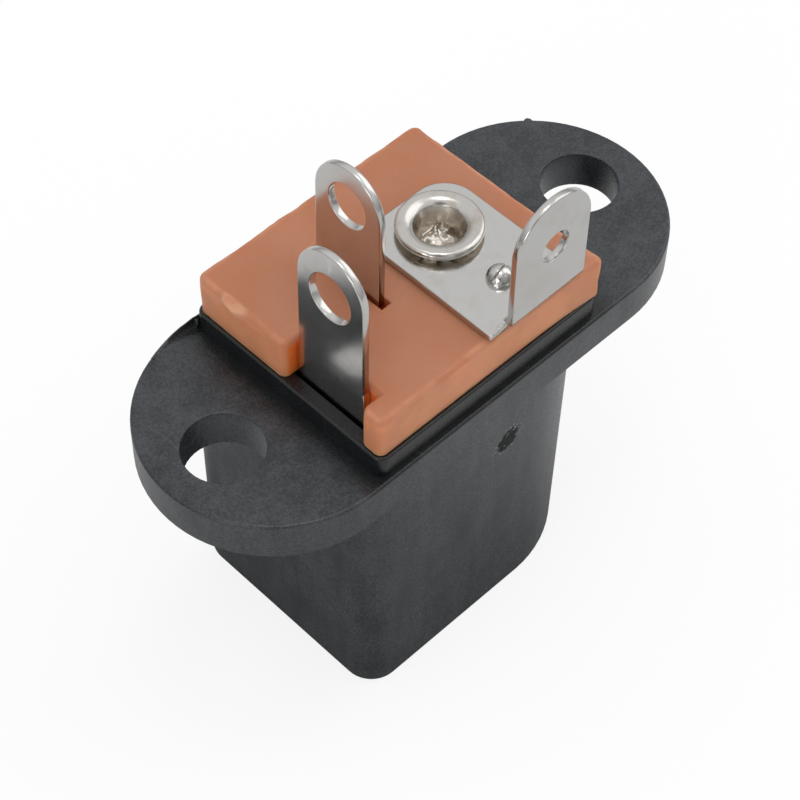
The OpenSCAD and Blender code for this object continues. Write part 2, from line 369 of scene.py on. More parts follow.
@dataclass(frozen=True)
class MouldedBlack:
    """Black thermoplastic, glossy under a fine grain, with scratches and dust, painted shade beside the rim
    and a gouge whose pit's shade is painted in.
    """

    deep: Colour = (0.0155, 0.0190, 0.0225)
    pale: Colour = (0.0530, 0.0590, 0.0660)
    dust: Colour = (0.22, 0.22, 0.21)
    # Near black of the gouge's core: torn plastic, with the pit's shade painted in.
    torn_pit_shade: Colour = (0.006, 0.006, 0.006)
    gloss: float = 0.17
    index: float = 1.50
    rim_x: Span = (-6.1, 4.85)
    rim_y: float = 4.75
    # Reach of the painted shade on the ears beside the rim: none at the first distance, full at the second,
    # in millimetres from the rim.
    foot_shade: Span = (1.2, 0.1)
    scar_x: float = 0.13
    scar_z: float = 9.9
    scar_way: Span = (0.74, 0.67)
    scar_half: Span = (0.62, 0.46)

    def material(self) -> bpy.types.Material:
        """Builds the material.

        Returns:
            The finished material.
        """
        made = bpy.data.materials.new("moulded_black")
        tree = Tree(made)
        place = tree.place()
        cloud = tree.cloud(place, 1.6, 4, 0.6)
        flow = tree.cloud(tree.stretch(place, (1, 1, 0.15)), 0.6, 3)
        grain = tree.cloud(place, 0.09, 3, 0.65)
        scratch = tree.scratches(place, 0.11, ((20, 35, 10), (-40, 15, 70), (65, -20, 130)))
        specks = tree.specks(place, 1.0, 0.032, 0.12)
        scar, chips = self._scar(tree, place)
        tone = cloud * 0.25 + flow * 0.2 + grain * 0.55
        colour = tree.blend(tone.between(0.38, 0.62), self.deep, self.pale)
        # Painted shade: the ears darken to black towards the foot of the rim.
        colour = tree.blend(self._rim_foot_shade(tree, place) * 0.8, colour, (0, 0, 0))
        dusty = (scratch * 0.07 + specks * 0.9 + chips * 0.6).least(1)
        colour = tree.blend(dusty, colour, self.dust)
        rough = self.gloss + cloud * 0.12 + grain * 0.06 + scratch * 0.08 - scar * 0.1
        relief = tree.bump(grain, 0.014, 0.9)
        relief = tree.bump(cloud, 0.05, 0.35, relief)
        relief = tree.bump(1 - scar, 0.3, 1, relief)
        inputs = {"Base Color": colour, "Roughness": rough, "Normal": relief, "IOR": self.index}
        sound = tree.add("ShaderNodeBsdfPrincipled", inputs=inputs)
        # The gouge's core blends to a matt, near-black surface: torn plastic with the pit's shade painted
        # in.
        torn_pit_shade = tree.add("ShaderNodeBsdfDiffuse", inputs={"Color": (*self.torn_pit_shade, 1)})
        tree.finish(tree.add("ShaderNodeMixShader", inputs={0: scar * 0.72, 1: sound, 2: torn_pit_shade}))
        return made

    def _rim_foot_shade(self, tree: Tree, place: Signal) -> Signal:
        """A mask of the strip of each ear beside the rim, where painted shade darkens it.

        Args:
            tree: The material's tree.
            place: Coordinates in metres.

        Returns:
            The mask.
        """
        x, y, z = tree.axes(place)
        left, right = self.rim_x
        ear_top = mount_place("panel_screws").z
        away = (left - x).most(x - right).most(abs(y) - self.rim_y)
        return away.between(*self.foot_shade) * z.between(ear_top - 0.2, ear_top - 0.05)

    def _scar(self, tree: Tree, place: Signal) -> tuple[Signal, Signal]:
        """Masks of a small gouge high on the long side of the body, leaning to the right.

        Args:
            tree: The material's tree.
            place: Coordinates in metres.

        Returns:
            Its black core, torn plastic with the pit's shade painted in, and the pale chips around it.
        """
        x, y, z = tree.axes(place)
        low, _ = Node.HOUSING.box()
        right, up = x - self.scar_x, z - self.scar_z
        run, rise = self.scar_way
        long, wide = self.scar_half
        along = (right * run + up * rise) / long
        across = (up * run - right * rise) / wide
        face = y.between(low.y + 0.2, low.y + 0.15)
        ragged = (tree.cloud(place, 0.3, 4, 0.8) - 0.5) * 4.5
        away = (along * along + across * across).least(9) + ragged
        flakes = tree.cloud(place, 0.16, 2).between(0.5, 0.58)
        chips = away.between(0.7, 1.0) * away.between(1.9, 1.2) * flakes
        return away.between(0.9, 0.4) * face, chips * face


@dataclass(frozen=True)
class WaxyLaminate:
    """Pressed laminate, salmon to orange, translucent, with painted light: brighter sides, a highlight on
    the upper edge and a deep orange glow and shade inside its cuts.
    """

    face: Colour = (0.500, 0.212, 0.118)
    warm: Colour = (0.485, 0.190, 0.095)
    # The sides are painted brighter and more orange than the top, standing in for light that passes through
    # the plate.
    side: Colour = (0.740, 0.305, 0.155)
    # Deep orange-red on the walls of the notch and slot: painted glow and shade from light passing through
    # the plate into the cuts.
    cut: Colour = (0.85, 0.19, 0.028)
    # Pale: a painted highlight along the rounded upper edge, and also the burr's own paler, rubbed skin.
    pale: Colour = (0.70, 0.39, 0.25)
    index: float = 1.45
    glow: Triple = (1.0, 0.34, 0.12)
    glow_reach: float = 0.75
    notch_y: float = -1.73
    notch_half: Span = (2.15, 1.95)
    notch_end: Span = (-4.95, -5.0)
    slot_x: float = -2.2
    slot_wide: Span = (0.27, 0.24)
    slot_y: float = 0.875
    slot_half: Span = (1.93, 1.9)
    burr_y: float = 2.7
    burr_half: Span = (0.75, 0.4)

    def material(self) -> bpy.types.Material:
        """Builds the material.

        Returns:
            The finished material.
        """
        box = Node.PLATE.box()
        top_z = box[1].z
        made = bpy.data.materials.new("waxy_laminate")
        tree = Tree(made)
        place = tree.place()
        axes = tree.axes(place)
        z = axes[2]
        cloud = tree.cloud(place, 1.9, 4, 0.55)
        fibre = tree.cloud(place, 0.12, 3, 0.6)
        wave = tree.cloud(place, 0.7, 3, 0.5)
        top = z.between(top_z - 0.35, top_z - 0.03)
        colour = tree.blend((cloud * 0.8 + fibre * 0.2).between(0.38, 0.66), self.warm, self.face)
        # Painted light: below the rounded top the plate takes the brighter side colour.
        side = tree.blend(cloud.between(0.35, 0.7) * 0.4, self.side, self.warm)
        colour = tree.blend(top, side, colour)
        # Painted highlight: patches of pale along the rounded upper edge.
        rim = self._painted_edge_highlight(axes, box) * z.between(top_z - 0.4, top_z - 0.15)
        colour = tree.blend(rim * wave.between(0.3, 0.7) * 0.35, colour, self.pale)
        # Painted glow and shade: the walls of the notch and slot turn deep orange, more so further down.
        colour = tree.blend(self._painted_cut_glow(axes, box), colour, self.cut)
        colour = tree.blend(self._rubbed(axes, box) * 0.75, colour, self.pale)
        relief = tree.bump(fibre, 0.010, 0.7)
        relief = tree.bump(wave, 0.05, 0.25, relief)
        inputs = {
            "Base Color": colour,
            "Roughness": 0.42 + cloud * 0.16,
            "Normal": relief,
            "IOR": self.index,
            "Subsurface Weight": 0.7,
            "Subsurface Radius": self.glow,
            "Subsurface Scale": self.glow_reach * MM,
        }
        tree.finish(tree.add("ShaderNodeBsdfPrincipled", inputs=inputs))
        return made

    @staticmethod
    def _painted_edge_highlight(axes: Axes, box: Box) -> Signal:
        """A mask of the rounded upper edge, where a pale highlight is painted.

        Args:
            axes: X, Y and Z in millimetres.
            box: The plate's lowest and highest corner.

        Returns:
            The mask.
        """
        x, y, _ = axes
        middle = (box[0] + box[1]) / 2
        half = (box[1] - box[0]) / 2
        along = abs(x - middle.x).between(half.x - 0.3, half.x - 0.12)
        across = abs(y - middle.y).between(half.y - 0.3, half.y - 0.12)
        return along.most(across)

    def _painted_cut_glow(self, axes: Axes, box: Box) -> Signal:
        """A mask of the walls of the notch and the slot, painted with a deep orange glow and shade, deeper
        further down.

        Args:
            axes: X, Y and Z in millimetres.
            box: The plate's lowest and highest corner.

        Returns:
            The mask.
        """
        x, y, z = axes
        low, high = box
        depth = z.between(high.z - 0.05, high.z - 0.5)
        notch = abs(y - self.notch_y).between(*self.notch_half)
        notch = notch * x.between(low.x + 0.12, low.x + 0.3) * x.between(*self.notch_end)
        slot = abs(y - self.slot_y).between(*self.slot_half)
        slot = slot * abs(x - self.slot_x).between(*self.slot_wide)
        return notch.most(slot) * depth

    def _rubbed(self, axes: Axes, box: Box) -> Signal:
        """A mask of the pale burr on the upper edge beside the notch.

        Args:
            axes: X, Y and Z in millimetres.
            box: The plate's lowest and highest corner.

        Returns:
            The mask.
        """
        x, y, z = axes
        low, high = box
        along = abs(y - self.burr_y).between(*self.burr_half)
        up = abs(z - (high.z - 0.16)).between(0.24, 0.1)
        return along * up * x.between(low.x + 0.3, low.x + 0.15)


@dataclass(frozen=True)
class PlatedSheet:
    """Bright plated sheet metal with fine rolling marks and handling scratches."""

    name: str
    tint: Colour = (0.60, 0.59, 0.565)
    stain: Colour = (0.50, 0.46, 0.40)
    gloss: float = 0.12
    dents: float = 0.15
    roll: Triple = (0, 0, 0)

    def material(self) -> bpy.types.Material:
        """Builds the material.

        Returns:
            The finished material.
        """
        made = bpy.data.materials.new(self.name)
        tree = Tree(made)
        place = tree.place()
        cloud = tree.cloud(place, 0.9, 3, 0.6)
        rolled = tree.cloud(tree.stretch(place, (1, 1, 0.04), self.roll), 0.05, 2)
        scratch = tree.scratches(place, 0.07, ((25, 40, 15), (-30, 10, 80)))
        specks = tree.specks(place, 0.8, 0.04, 0.12)
        # For the rolled pin this mask also holds painted shade under its rolled edge.
        dull = self._dull_and_shade(tree, place)
        colour = tree.blend(cloud.between(0.45, 0.8) * 0.5, self.tint, self.stain)
        colour = tree.blend((specks * 0.6).most(dull), colour, self.stain)
        rough = self.gloss + cloud * 0.08 + scratch * 0.1 + specks * 0.2 + dull * 0.12
        relief = tree.bump(rolled, 0.002, 0.35)
        relief = tree.bump(cloud, 0.02, self.dents, relief)
        inputs = {"Base Color": colour, "Metallic": 1.0, "Roughness": rough, "Normal": relief}
        tree.finish(tree.add("ShaderNodeBsdfPrincipled", inputs=inputs))
        return made

    def _dull_and_shade(self, tree: Tree, place: Signal) -> Signal:
        """A mask of the places where the plating has gone dull.

        Args:
            tree: The material's tree.
            place: Coordinates in metres.

        Returns:
            The mask: here a few faint clouds.
        """
        return tree.cloud(place, 2.6, 2).between(0.55, 0.75) * 0.3


@dataclass(frozen=True)
class RolledPin(PlatedSheet):
    """The pin's plating, brown inside the crater, with brown-tinted painted shade under the rolled edge."""

    crater: Span = (0.95, 0.8)
    # Reach of the painted shade under the rolled edge, as squared distance from the axis.
    under: Span = (1.6, 2.2)

    def _dull_and_shade(self, tree: Tree, place: Signal) -> Signal:
        """A mask of the brown places round the pin's axis: a dull stain in the crater, and painted shade,
        tinted brown, under the rolled edge.

        Args:
            tree: The material's tree.
            place: Coordinates in metres.

        Returns:
            The mask.
        """
        axis = mount_place("plug_pin")
        _, high = Node.PIN.box()
        x, y, z = tree.axes(place)
        squared = (x - axis.x) * (x - axis.x) + (y - axis.y) * (y - axis.y)
        crater = squared.between(*self.crater) * z.between(high.z - 0.3, high.z - 0.45) * 0.3
        # Painted shade: the plating below the rolled edge's widest part darkens towards the brown stain
        # colour.
        under = squared.between(*self.under) * z.between(high.z - 0.2, high.z - 0.32) * 0.75
        return crater.most(under)


# ---- modelling moves


class Bench:
    """Modelling moves that the pieces share."""

    @staticmethod
    def pick(*objects: bpy.types.Object) -> None:
        """Selects these objects alone and makes the first one active.

        Args:
            objects: What to select.
        """
        if bpy.context.mode != "OBJECT":
            bpy.ops.object.mode_set(mode="OBJECT")
        bpy.ops.object.select_all(action="DESELECT")
        for one in objects:
            one.select_set(True)
        if objects:
            bpy.context.view_layer.objects.active = objects[0]

    @classmethod
    def copy_solid(cls, node: Node) -> bpy.types.Object:
        """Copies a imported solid, with its loose triangles merged into faces.

        Args:
            node: The solid.

        Returns:
            The copy, free of the solid's own marks.
        """
        cls.pick(frame["nodes"][node.value])
        bpy.ops.object.duplicate()
        copy = bpy.context.view_layer.objects.active
        bpy.ops.object.parent_clear(type="CLEAR_KEEP_TRANSFORM")
        for key in list(copy.keys()):
            del copy[key]
        copy.name = copy.data.name = node.value + "_dressed"
        cls.merge_flat(copy)
        return copy

    @classmethod
    def merge_flat(cls, piece: bpy.types.Object) -> None:
        """Merges points that lie together and faces that lie in one plane.

        Args:
            piece: The object.
        """
        cls.pick(piece)
        bpy.ops.object.mode_set(mode="EDIT")
        bpy.ops.mesh.select_all(action="SELECT")
        bpy.ops.mesh.remove_doubles(threshold=WELD)
        bpy.ops.mesh.dissolve_limited(angle_limit=FLAT)
        bpy.ops.object.mode_set(mode="OBJECT")

    @classmethod
    def round_edges(cls, piece: bpy.types.Object, width: Rule, segments: int = 3) -> None:
        """Rounds the sharp outer edges, each by its own width.

        Args:
            piece: The object.
            width: Takes an edge's two ends and gives its width, all in millimetres.
            segments: Number of steps round an edge.
        """
        shape = bmesh.new()
        shape.from_mesh(piece.data)
        sizes = {}
        for edge in shape.edges:
            if len(edge.link_faces) == 2 and edge.is_convex and edge.calc_face_angle() > SHARP:
                sizes[edge.index] = width(*(vert.co / MM for vert in edge.verts))
        shape.free()
        widest = max(sizes.values())
        weights = piece.data.attributes.new("bevel_weight_edge", "FLOAT", "EDGE")
        for index, size in sizes.items():
            weights.data[index].value = size / widest
        soften = piece.modifiers.new("soften", "BEVEL")
        soften.limit_method = "WEIGHT"
        soften.width = widest * MM
        soften.segments = segments
        soften.use_clamp_overlap = False
        soften.loop_slide = False
        soften.miter_outer = "MITER_ARC"
        cls.pick(piece)
        bpy.ops.object.modifier_apply(modifier="soften")

    @classmethod
    def divide(cls, piece: bpy.types.Object, step: float, shift: float = 0.37) -> None:
        """Cuts every face along evenly spaced planes across X, Y and Z.

        Args:
            piece: The object.
            step: Distance between the planes, in millimetres.
            shift: How far the planes stand from whole steps, as a share of a step.
        """
        shape = bmesh.new()
        shape.from_mesh(piece.data)
        for axis in range(3):
            spots = [vert.co[axis] / MM for vert in shape.verts]
            for index in range(math.ceil(min(spots) / step), math.floor(max(spots) / step) + 1):
                across = Vector(float(i == axis) for i in range(3))
                everything = [*shape.verts, *shape.edges, *shape.faces]
                place = across * (index + shift) * step * MM
                bmesh.ops.bisect_plane(shape, geom=everything, plane_co=place, plane_no=across)
        shape.to_mesh(piece.data)
        shape.free()

    @classmethod
    def move(cls, piece: bpy.types.Object, rule: Move) -> None:
        """Moves every vertex by a rule.

        Args:
            piece: The object.
            rule: Takes a place and gives the new one, both in millimetres.
        """
        for vert in piece.data.vertices:
            vert.co = rule(vert.co / MM) * MM

    @classmethod
    def block(cls, place: Vector, size: Vector, turn: float = 0) -> bpy.types.Object:
        """Makes a plain block.

        Args:
            place: Its middle, in millimetres.
            size: Its sides, in millimetres.
            turn: Its turn about Z, in degrees.

        Returns:
            The block.
        """
        cls.pick()
        bpy.ops.mesh.primitive_cube_add(size=1)
        block = bpy.context.view_layer.objects.active
        block.scale = size * MM
        block.rotation_euler.z = math.radians(turn)
        block.location = place * MM
        bpy.ops.object.transform_apply(location=True, rotation=True, scale=True)
        return block

    @classmethod
    def crumb(cls, place: Vector, size: Vector, seed: float, ragged: float = 0.35) -> bpy.types.Object:
        """Makes a small ragged lump.

        Args:
            place: Its middle, in millimetres.
            size: Its half sizes, in millimetres.
            seed: Another number gives another lump.
            ragged: How uneven it is, as a share of its size.

        Returns:
            The lump.
        """
        cls.pick()
        bpy.ops.mesh.primitive_ico_sphere_add(subdivisions=3, radius=1)
        lump = bpy.context.view_layer.objects.active
        for vert in lump.data.vertices:
            bulge = 1 + ragged * noise.noise(vert.co * 1.6 + Vector((seed, seed, 0)))
            vert.co = (place + Vector(c * s * bulge for c, s in zip(vert.co, size))) * MM
        return lump

    @classmethod
    def join(cls, piece: bpy.types.Object, parts: Sequence[bpy.types.Object]) -> None:
        """Joins small parts to a piece.

        Args:
            piece: The object that stays.
            parts: Objects that become part of it.
        """
        cls.pick(piece, *parts)
        bpy.ops.object.join()

    @classmethod
    def cut_away(cls, piece: bpy.types.Object, tool: bpy.types.Object) -> None:
        """Cuts the shape of a tool out of a piece.

        Args:
            piece: The object.
            tool: The shape to cut, which is used up.
        """
        cut = piece.modifiers.new("cut", "BOOLEAN")
        cut.operation = "DIFFERENCE"
        cut.solver = "EXACT"
        cut.object = tool
        cls.pick(piece)
        bpy.ops.object.modifier_apply(modifier="cut")
        bpy.data.objects.remove(tool)
        cls.merge_flat(piece)

    @classmethod
    def settle(
        cls, piece: bpy.types.Object, node: Node, material: bpy.types.Material, crease: float = 34
    ) -> None:
        """Smooths a finished piece, dresses it and puts it in its solid's place.

        Args:
            piece: The object.
            node: The solid that it stands for.
            material: Its finish.
            crease: Angle in degrees above which an edge stays sharp.
        """
        cls.pick(piece)
        bpy.ops.object.mode_set(mode="EDIT")
        bpy.ops.mesh.select_all(action="SELECT")
        bpy.ops.mesh.remove_doubles(threshold=FINE_WELD)
        bpy.ops.object.mode_set(mode="OBJECT")
        bpy.ops.object.shade_smooth_by_angle(angle=math.radians(crease))
        weigh = piece.modifiers.new("weigh", "WEIGHTED_NORMAL")
        weigh.keep_sharp = True
        weigh.weight = 60
        bpy.ops.object.modifier_apply(modifier="weigh")
        piece.data.materials.clear()
        piece.data.materials.append(material)
        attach(piece, "root")
        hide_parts(node.value)
        log.info("%s: %d faces", piece.name, len(piece.data.polygons))


# ---- pieces


@dataclass
class Housing:
    """The black moulding: two ears, the body, and the rim that carries the plate."""

    ear_edge: float = 0.12
    hole_edge: float = 0.05
    rim_edge: float = 0.1
    pocket_edge: float = 0.05
    under_edge: float = 0.05
    foot_edge: float = 0.14
    mouth_edge: float = 0.04
    rim_inner: Triple = (-5.7, 4.4, 4.3)
    stub_x: Span = (-6.3, -5.4)
    stub_y: Span = (4.5, 4.85)
    hole_reach: Span = (10.6, 1.6)
    bore_reach: float = 3.6
    rim_x: float = -6.1
    old_web: Triple = (2.6, 0.7, 0.8)
    old_web_y: float = 4.9
    web_in: float = 0.3
    web_l: float = 2.1
    web_h: float = 0.56
    web_foot: float = 0.16
    web_steps: int = 14
    mark_place: Triple = (10.05, 3.68, 12.93)
    mark_size: Triple = (0.2, 0.15, 0.11)
    finish: MouldedBlack = field(default_factory=MouldedBlack)

    def build(self) -> bpy.types.Object:
        """Softens the moulding's edges and adds its web of flash and its gate mark.

        Returns:
            The piece.
        """
        piece = Bench.copy_solid(Node.HOUSING)
        Bench.cut_away(piece, self._web_block())
        Bench.round_edges(piece, self._width)
        mark = Bench.crumb(Vector(self.mark_place), Vector(self.mark_size), 3.1, 0.2)
        Bench.join(piece, [mark, self._flash()])
        Bench.settle(piece, Node.HOUSING, self.finish.material())
        return piece

    def _web_block(self) -> bpy.types.Object:
        """Shapes the block that takes off the straight web.

        Returns:
            The block.
        """
        long, _, high = self.old_web
        end = self.rim_x - LEVEL / 2
        up = mount_place("panel_screws").z + high / 2
        return Bench.block(Vector((end - long / 2, self.old_web_y, up)), Vector(self.old_web))

    def _flash(self) -> bpy.types.Object:
        """Builds the thin web that follows the ear's outline away from the rim.

        Returns:
            The web.
        """
        low, high = Node.HOUSING.box()
        ear_top = mount_place("panel_screws").z
        ear_x = low.x + high.y
        foot = ear_top - self.web_foot
        rings = []
        for step in range(self.web_steps + 1):
            share = step / self.web_steps
            x = self.rim_x + self.web_in - share * (self.web_l + self.web_in)
            edge = math.sqrt(high.y**2 - max(ear_x - x, 0) ** 2) - 0.02 - 0.27 * (1 - share) ** 4
            rough = 0.05 * noise.noise(Vector((x * 2.7, 0, 5)))
            top = ear_top + self.web_h * (1 - share) ** 1.7 + rough * (1 - share)
            outer = [(0, foot), (0, top - 0.03), (0.03, top), (0.07, top)]
            inner = [(0.11, ear_top + 0.04), (0.2, ear_top - 0.02), (0.2, foot)]
            rings.append([Vector((x, edge - inset, z)) * MM for inset, z in outer + inner])
        count = len(rings[0])
        around = [(k, (k + 1) % count) for k in range(count)]
        starts = [step * count for step in range(self.web_steps)]
        faces = [(s + k, s + n, s + count + n, s + count + k) for s in starts for k, n in around]
        end = self.web_steps * count
        faces += [tuple(range(count)), tuple(end + k for k in reversed(range(count)))]
        mesh = bpy.data.meshes.new("flash")
        mesh.from_pydata([point for ring in rings for point in ring], [], faces)
        web = bpy.data.objects.new("flash", mesh)
        bpy.context.scene.collection.objects.link(web)
        Bench.pick(web)
        bpy.ops.object.mode_set(mode="EDIT")
        bpy.ops.mesh.select_all(action="SELECT")
        bpy.ops.mesh.normals_make_consistent(inside=False)
        bpy.ops.object.mode_set(mode="OBJECT")
        return web

    def _width(self, a: Vector, b: Vector) -> float:
        """Gives the width of the rounding on one edge.

        Args:
            a: One end, in millimetres.
            b: The other end.

        Returns:
            The width in millimetres, 0 for none.
        """
        low, high = Node.HOUSING.box()
        ear_top = mount_place("panel_screws").z
        ear_under = mount_place("ear_seat_flat_end").z
        middle = (a + b) / 2
        if abs(a.z - b.z) > LEVEL:
            return 0
        if abs(middle.z - high.z) < LEVEL:
            left, right, across = self.rim_inner
            outer = abs(middle.y) > across or middle.x < left or middle.x > right
            return self.rim_edge if outer else self.pocket_edge
        if abs(middle.z - ear_top) < LEVEL:
            left, right = self.stub_x
            near, far = self.stub_y
            stub = left < middle.x < right and near < middle.y < far
            long, wide = self.hole_reach
            in_hole = abs(middle.y) < wide and abs(middle.x) < long
            return 0 if stub else self.hole_edge if in_hole else self.ear_edge
        if abs(middle.z - ear_under) < LEVEL:
            return self.under_edge
        if abs(middle.z - low.z) < LEVEL:
            bore = (middle - mount_place("plug_pin")).xy.length < self.bore_reach
            return self.mouth_edge if bore else self.foot_edge
        return 0


@dataclass
class TerminalPlate:
    """The insulating plate under the lugs, with soft, uneven edges and a burr."""

    top_edge: float = 0.19
    slot_edge: float = 0.05
    low_edge: float = 0.05
    slot_x: Span = (-2.6, -1.8)
    slot_y: float = 3.0
    cell: float = 0.27
    skin: float = 0.5
    uneven: float = 0.045
    # Y, depth under the top and size of each lump of the burr.
    burr: tuple[Triple, ...] = ((2.95, 0.12, 0.3), (2.45, 0.25, 0.26))
    burr_out: float = 0.16
    burr_way: Triple = (-0.9, 0, 0.4)
    skew: float = 0.16
    finish: WaxyLaminate = field(default_factory=WaxyLaminate)

    def build(self) -> bpy.types.Object:
        """Rounds the plate's edges, makes them uneven and raises the burr.

        Returns:
            The piece.
        """
        piece = Bench.copy_solid(Node.PLATE)
        Bench.round_edges(piece, self._width, 4)
        Bench.divide(piece, self.cell)
        Bench.move(piece, self._unevenly)
        Bench.settle(piece, Node.PLATE, self.finish.material())
        return piece

    def _unevenly(self, place: Vector) -> Vector:
        """Moves one point of the plate, most at its outer edges.

        Args:
            place: The point in millimetres.

        Returns:
            Where the point goes.
        """
        low, high = Node.PLATE.box()
        middle = (low + high) / 2
        half = (high - low) / 2
        out = max(abs(place.x - middle.x) - half.x, abs(place.y - middle.y) - half.y)
        rim = min(max(1 + out / self.skin, 0), 1) if place.z > low.z + 0.1 else 0
        push = noise.noise_vector(place * 1.1 + Vector((3, 8, 2)))
        push += 0.5 * noise.noise_vector(place * 2.9)
        moved = place + push * self.uneven * rim
        corner = max(place.x / high.x, 0) ** 3 * max(place.y / low.y, 0) ** 3
        moved += Vector((self.skew, -self.skew, 0)) * corner
        for y, down, size in self.burr:
            away = (place - Vector((low.x + 0.05, y, high.z - down))).length / size
            lump = self.burr_out * math.exp(-((away**2) ** 2))
            moved += Vector(self.burr_way) * lump * (1 + 0.8 * noise.noise(place * 5))
        return moved

    def _width(self, a: Vector, b: Vector) -> float:
        """Gives the width of the rounding on one edge.

        Args:
            a: One end, in millimetres.
            b: The other end.

        Returns:
            The width in millimetres, 0 for none.
        """
        low, high = Node.PLATE.box()
        middle = (a + b) / 2
        if min(a.z, b.z) > high.z - LEVEL:
            left, right = self.slot_x
            in_slot = left < middle.x < right and abs(middle.y) < self.slot_y
            return self.slot_edge if in_slot else self.top_edge
        if max(a.z, b.z) < low.z + LEVEL:
            return self.low_edge
        return 0


@dataclass
class CentrePin:
    """The turned pin with its tail rolled over the terminal and crushed inside."""

    crest: float = 1.45
    throat: float = 0.95
    floor: float = 0.65
    drop: float = 0.18
    deep: float = 0.75
    rings: int = 14
    folds: int = 5
    fold_in: float = 0.07
    streak_in: float = 0.012
    ripple: float = 0.08
    crease_deep: float = 0.12
    crease_wide: float = 0.07
    # X and Y from the axis, size and height of each lump of the crater.
    lumps: tuple[tuple[float, float, float, float], ...] = (
        (0.24, 0.44, 0.17, 0.22),
        (0.36, 0.08, 0.16, 0.18),
        (0.02, 0.22, 0.14, 0.14),
        (0.64, -0.03, 0.13, -0.3),
        (-0.30, 0.30, 0.2, 0.16),
    )
    finish: PlatedSheet = RolledPin("rolled_pin", (0.62, 0.60, 0.57), (0.40, 0.30, 0.19), 0.17, 0.5)

    def build(self) -> bpy.types.Object:
        """Rounds the rolled head's slope and crushes its crater.

        Returns:
            The piece.
        """
        piece = Bench.copy_solid(Node.PIN)
        self._new_rings(piece)
        Bench.move(piece, self._crushed)
        Bench.settle(piece, Node.PIN, self.finish.material(), 62)
        return piece

    def _new_rings(self, piece: bpy.types.Object) -> None:
        """Puts even rings in place of the faces inside the crest.

        Args:
            piece: The object.
        """
        axis = mount_place("plug_pin")
        mesh = bmesh.new()
        mesh.from_mesh(piece.data)
        inside = [face for face in mesh.faces if self._in_head(face.calc_center_median() / MM)]
        bmesh.ops.delete(mesh, geom=inside, context="FACES")
        edges = [edge for edge in mesh.edges if edge.is_boundary]
        bmesh.ops.subdivide_edges(mesh, edges=edges, cuts=2)
        border = {vert for edge in mesh.edges if edge.is_boundary for vert in edge.verts}
        rim = sorted(border, key=lambda vert: math.atan2(*(vert.co / MM - axis).yx))
        for reach, z in self._rings():
            ring = []
            for vert in rim:
                arm = (vert.co / MM - axis).to_2d().normalized() * reach
                ring.append(mesh.verts.new(Vector((axis.x + arm.x, axis.y + arm.y, z)) * MM))
            for k in range(len(rim)):
                mesh.faces.new((rim[k - 1], rim[k], ring[k], ring[k - 1]))
            rim = ring
        mesh.faces.new(rim)
        bmesh.ops.recalc_face_normals(mesh, faces=mesh.faces)
        mesh.to_mesh(piece.data)
        mesh.free()

    def _rings(self) -> list[Span]:
        """Lists the rings of the slope, the wall and the floor.

        Returns:
            The reach and height of each ring in millimetres, from the crest inwards.
        """
        _, high = Node.PIN.box()
        edge_z = high.z - self.drop
        steps = [(step + 1) / self.rings for step in range(self.rings)]
        narrow = self.floor - self.throat
        slope = [(self.crest + (self.throat - self.crest) * step, edge_z) for step in steps]
        wall = [(self.throat + narrow * step, edge_z - self.deep * step) for step in steps]
        floor = [(self.floor * (1 - step * 0.95), edge_z - self.deep) for step in steps]
        return slope + wall + floor

    def _in_head(self, place: Vector) -> bool:
        """Tells whether a place is on the head, inside its crest.

        Args:
            place: The place in millimetres.

        Returns:
            True if it is.
        """
        _, high = Node.PIN.box()
        reach = (place - mount_place("plug_pin")).xy.length
        edge_z = high.z - self.drop
        if reach > self.throat:
            return reach < self.crest and place.z > edge_z - LEVEL
        return place.z > edge_z - self.deep - 0.3

    def _crushed(self, place: Vector) -> Vector:
        """Moves one point of the pin, if it is on the head.

        Args:
            place: The point in millimetres.

        Returns:
            Where the point goes.
        """
        if not self._in_head(place):
            return place
        axis = mount_place("plug_pin")
        _, high = Node.PIN.box()
        arm = Vector((place.x - axis.x, place.y - axis.y, 0))
        reach = arm.length
        edge_z = high.z - self.drop
        if reach > self.throat:
            share = (self.crest - reach) / (self.crest - self.throat)
            return Vector((place.x, place.y, high.z - self.drop * share**3))
        angle = math.atan2(arm.y, arm.x)
        down = min(max((edge_z - place.z) / self.deep, 0), 1)
        wander = noise.noise(Vector((math.cos(angle), math.sin(angle), 0.3)) * 1.4)
        fold = abs(math.sin(self.folds / 2 * angle + 2.4 * wander))
        streak = noise.noise(Vector((math.cos(angle) * 4, math.sin(angle) * 4, place.z * 2)))
        inward = (self.fold_in * down**2 * fold + self.streak_in * streak * down) * min(reach / 0.5, 1)
        lift = self.ripple * down**2 * noise.noise(place * 3.0 + Vector((4, 1, 7)))
        for x, y, size, height in self.lumps:
            away = (arm - Vector((x, y, 0))).length / size
            lift += height * math.exp(-away * away) * down**2
        crease = math.exp(-(((reach - self.floor) / self.crease_wide) ** 2))
        lift -= self.crease_deep * crease * (0.5 + 0.5 * math.cos(angle - math.pi / 4))
        return place - arm.normalized() * inward + Vector((0, 0, lift))


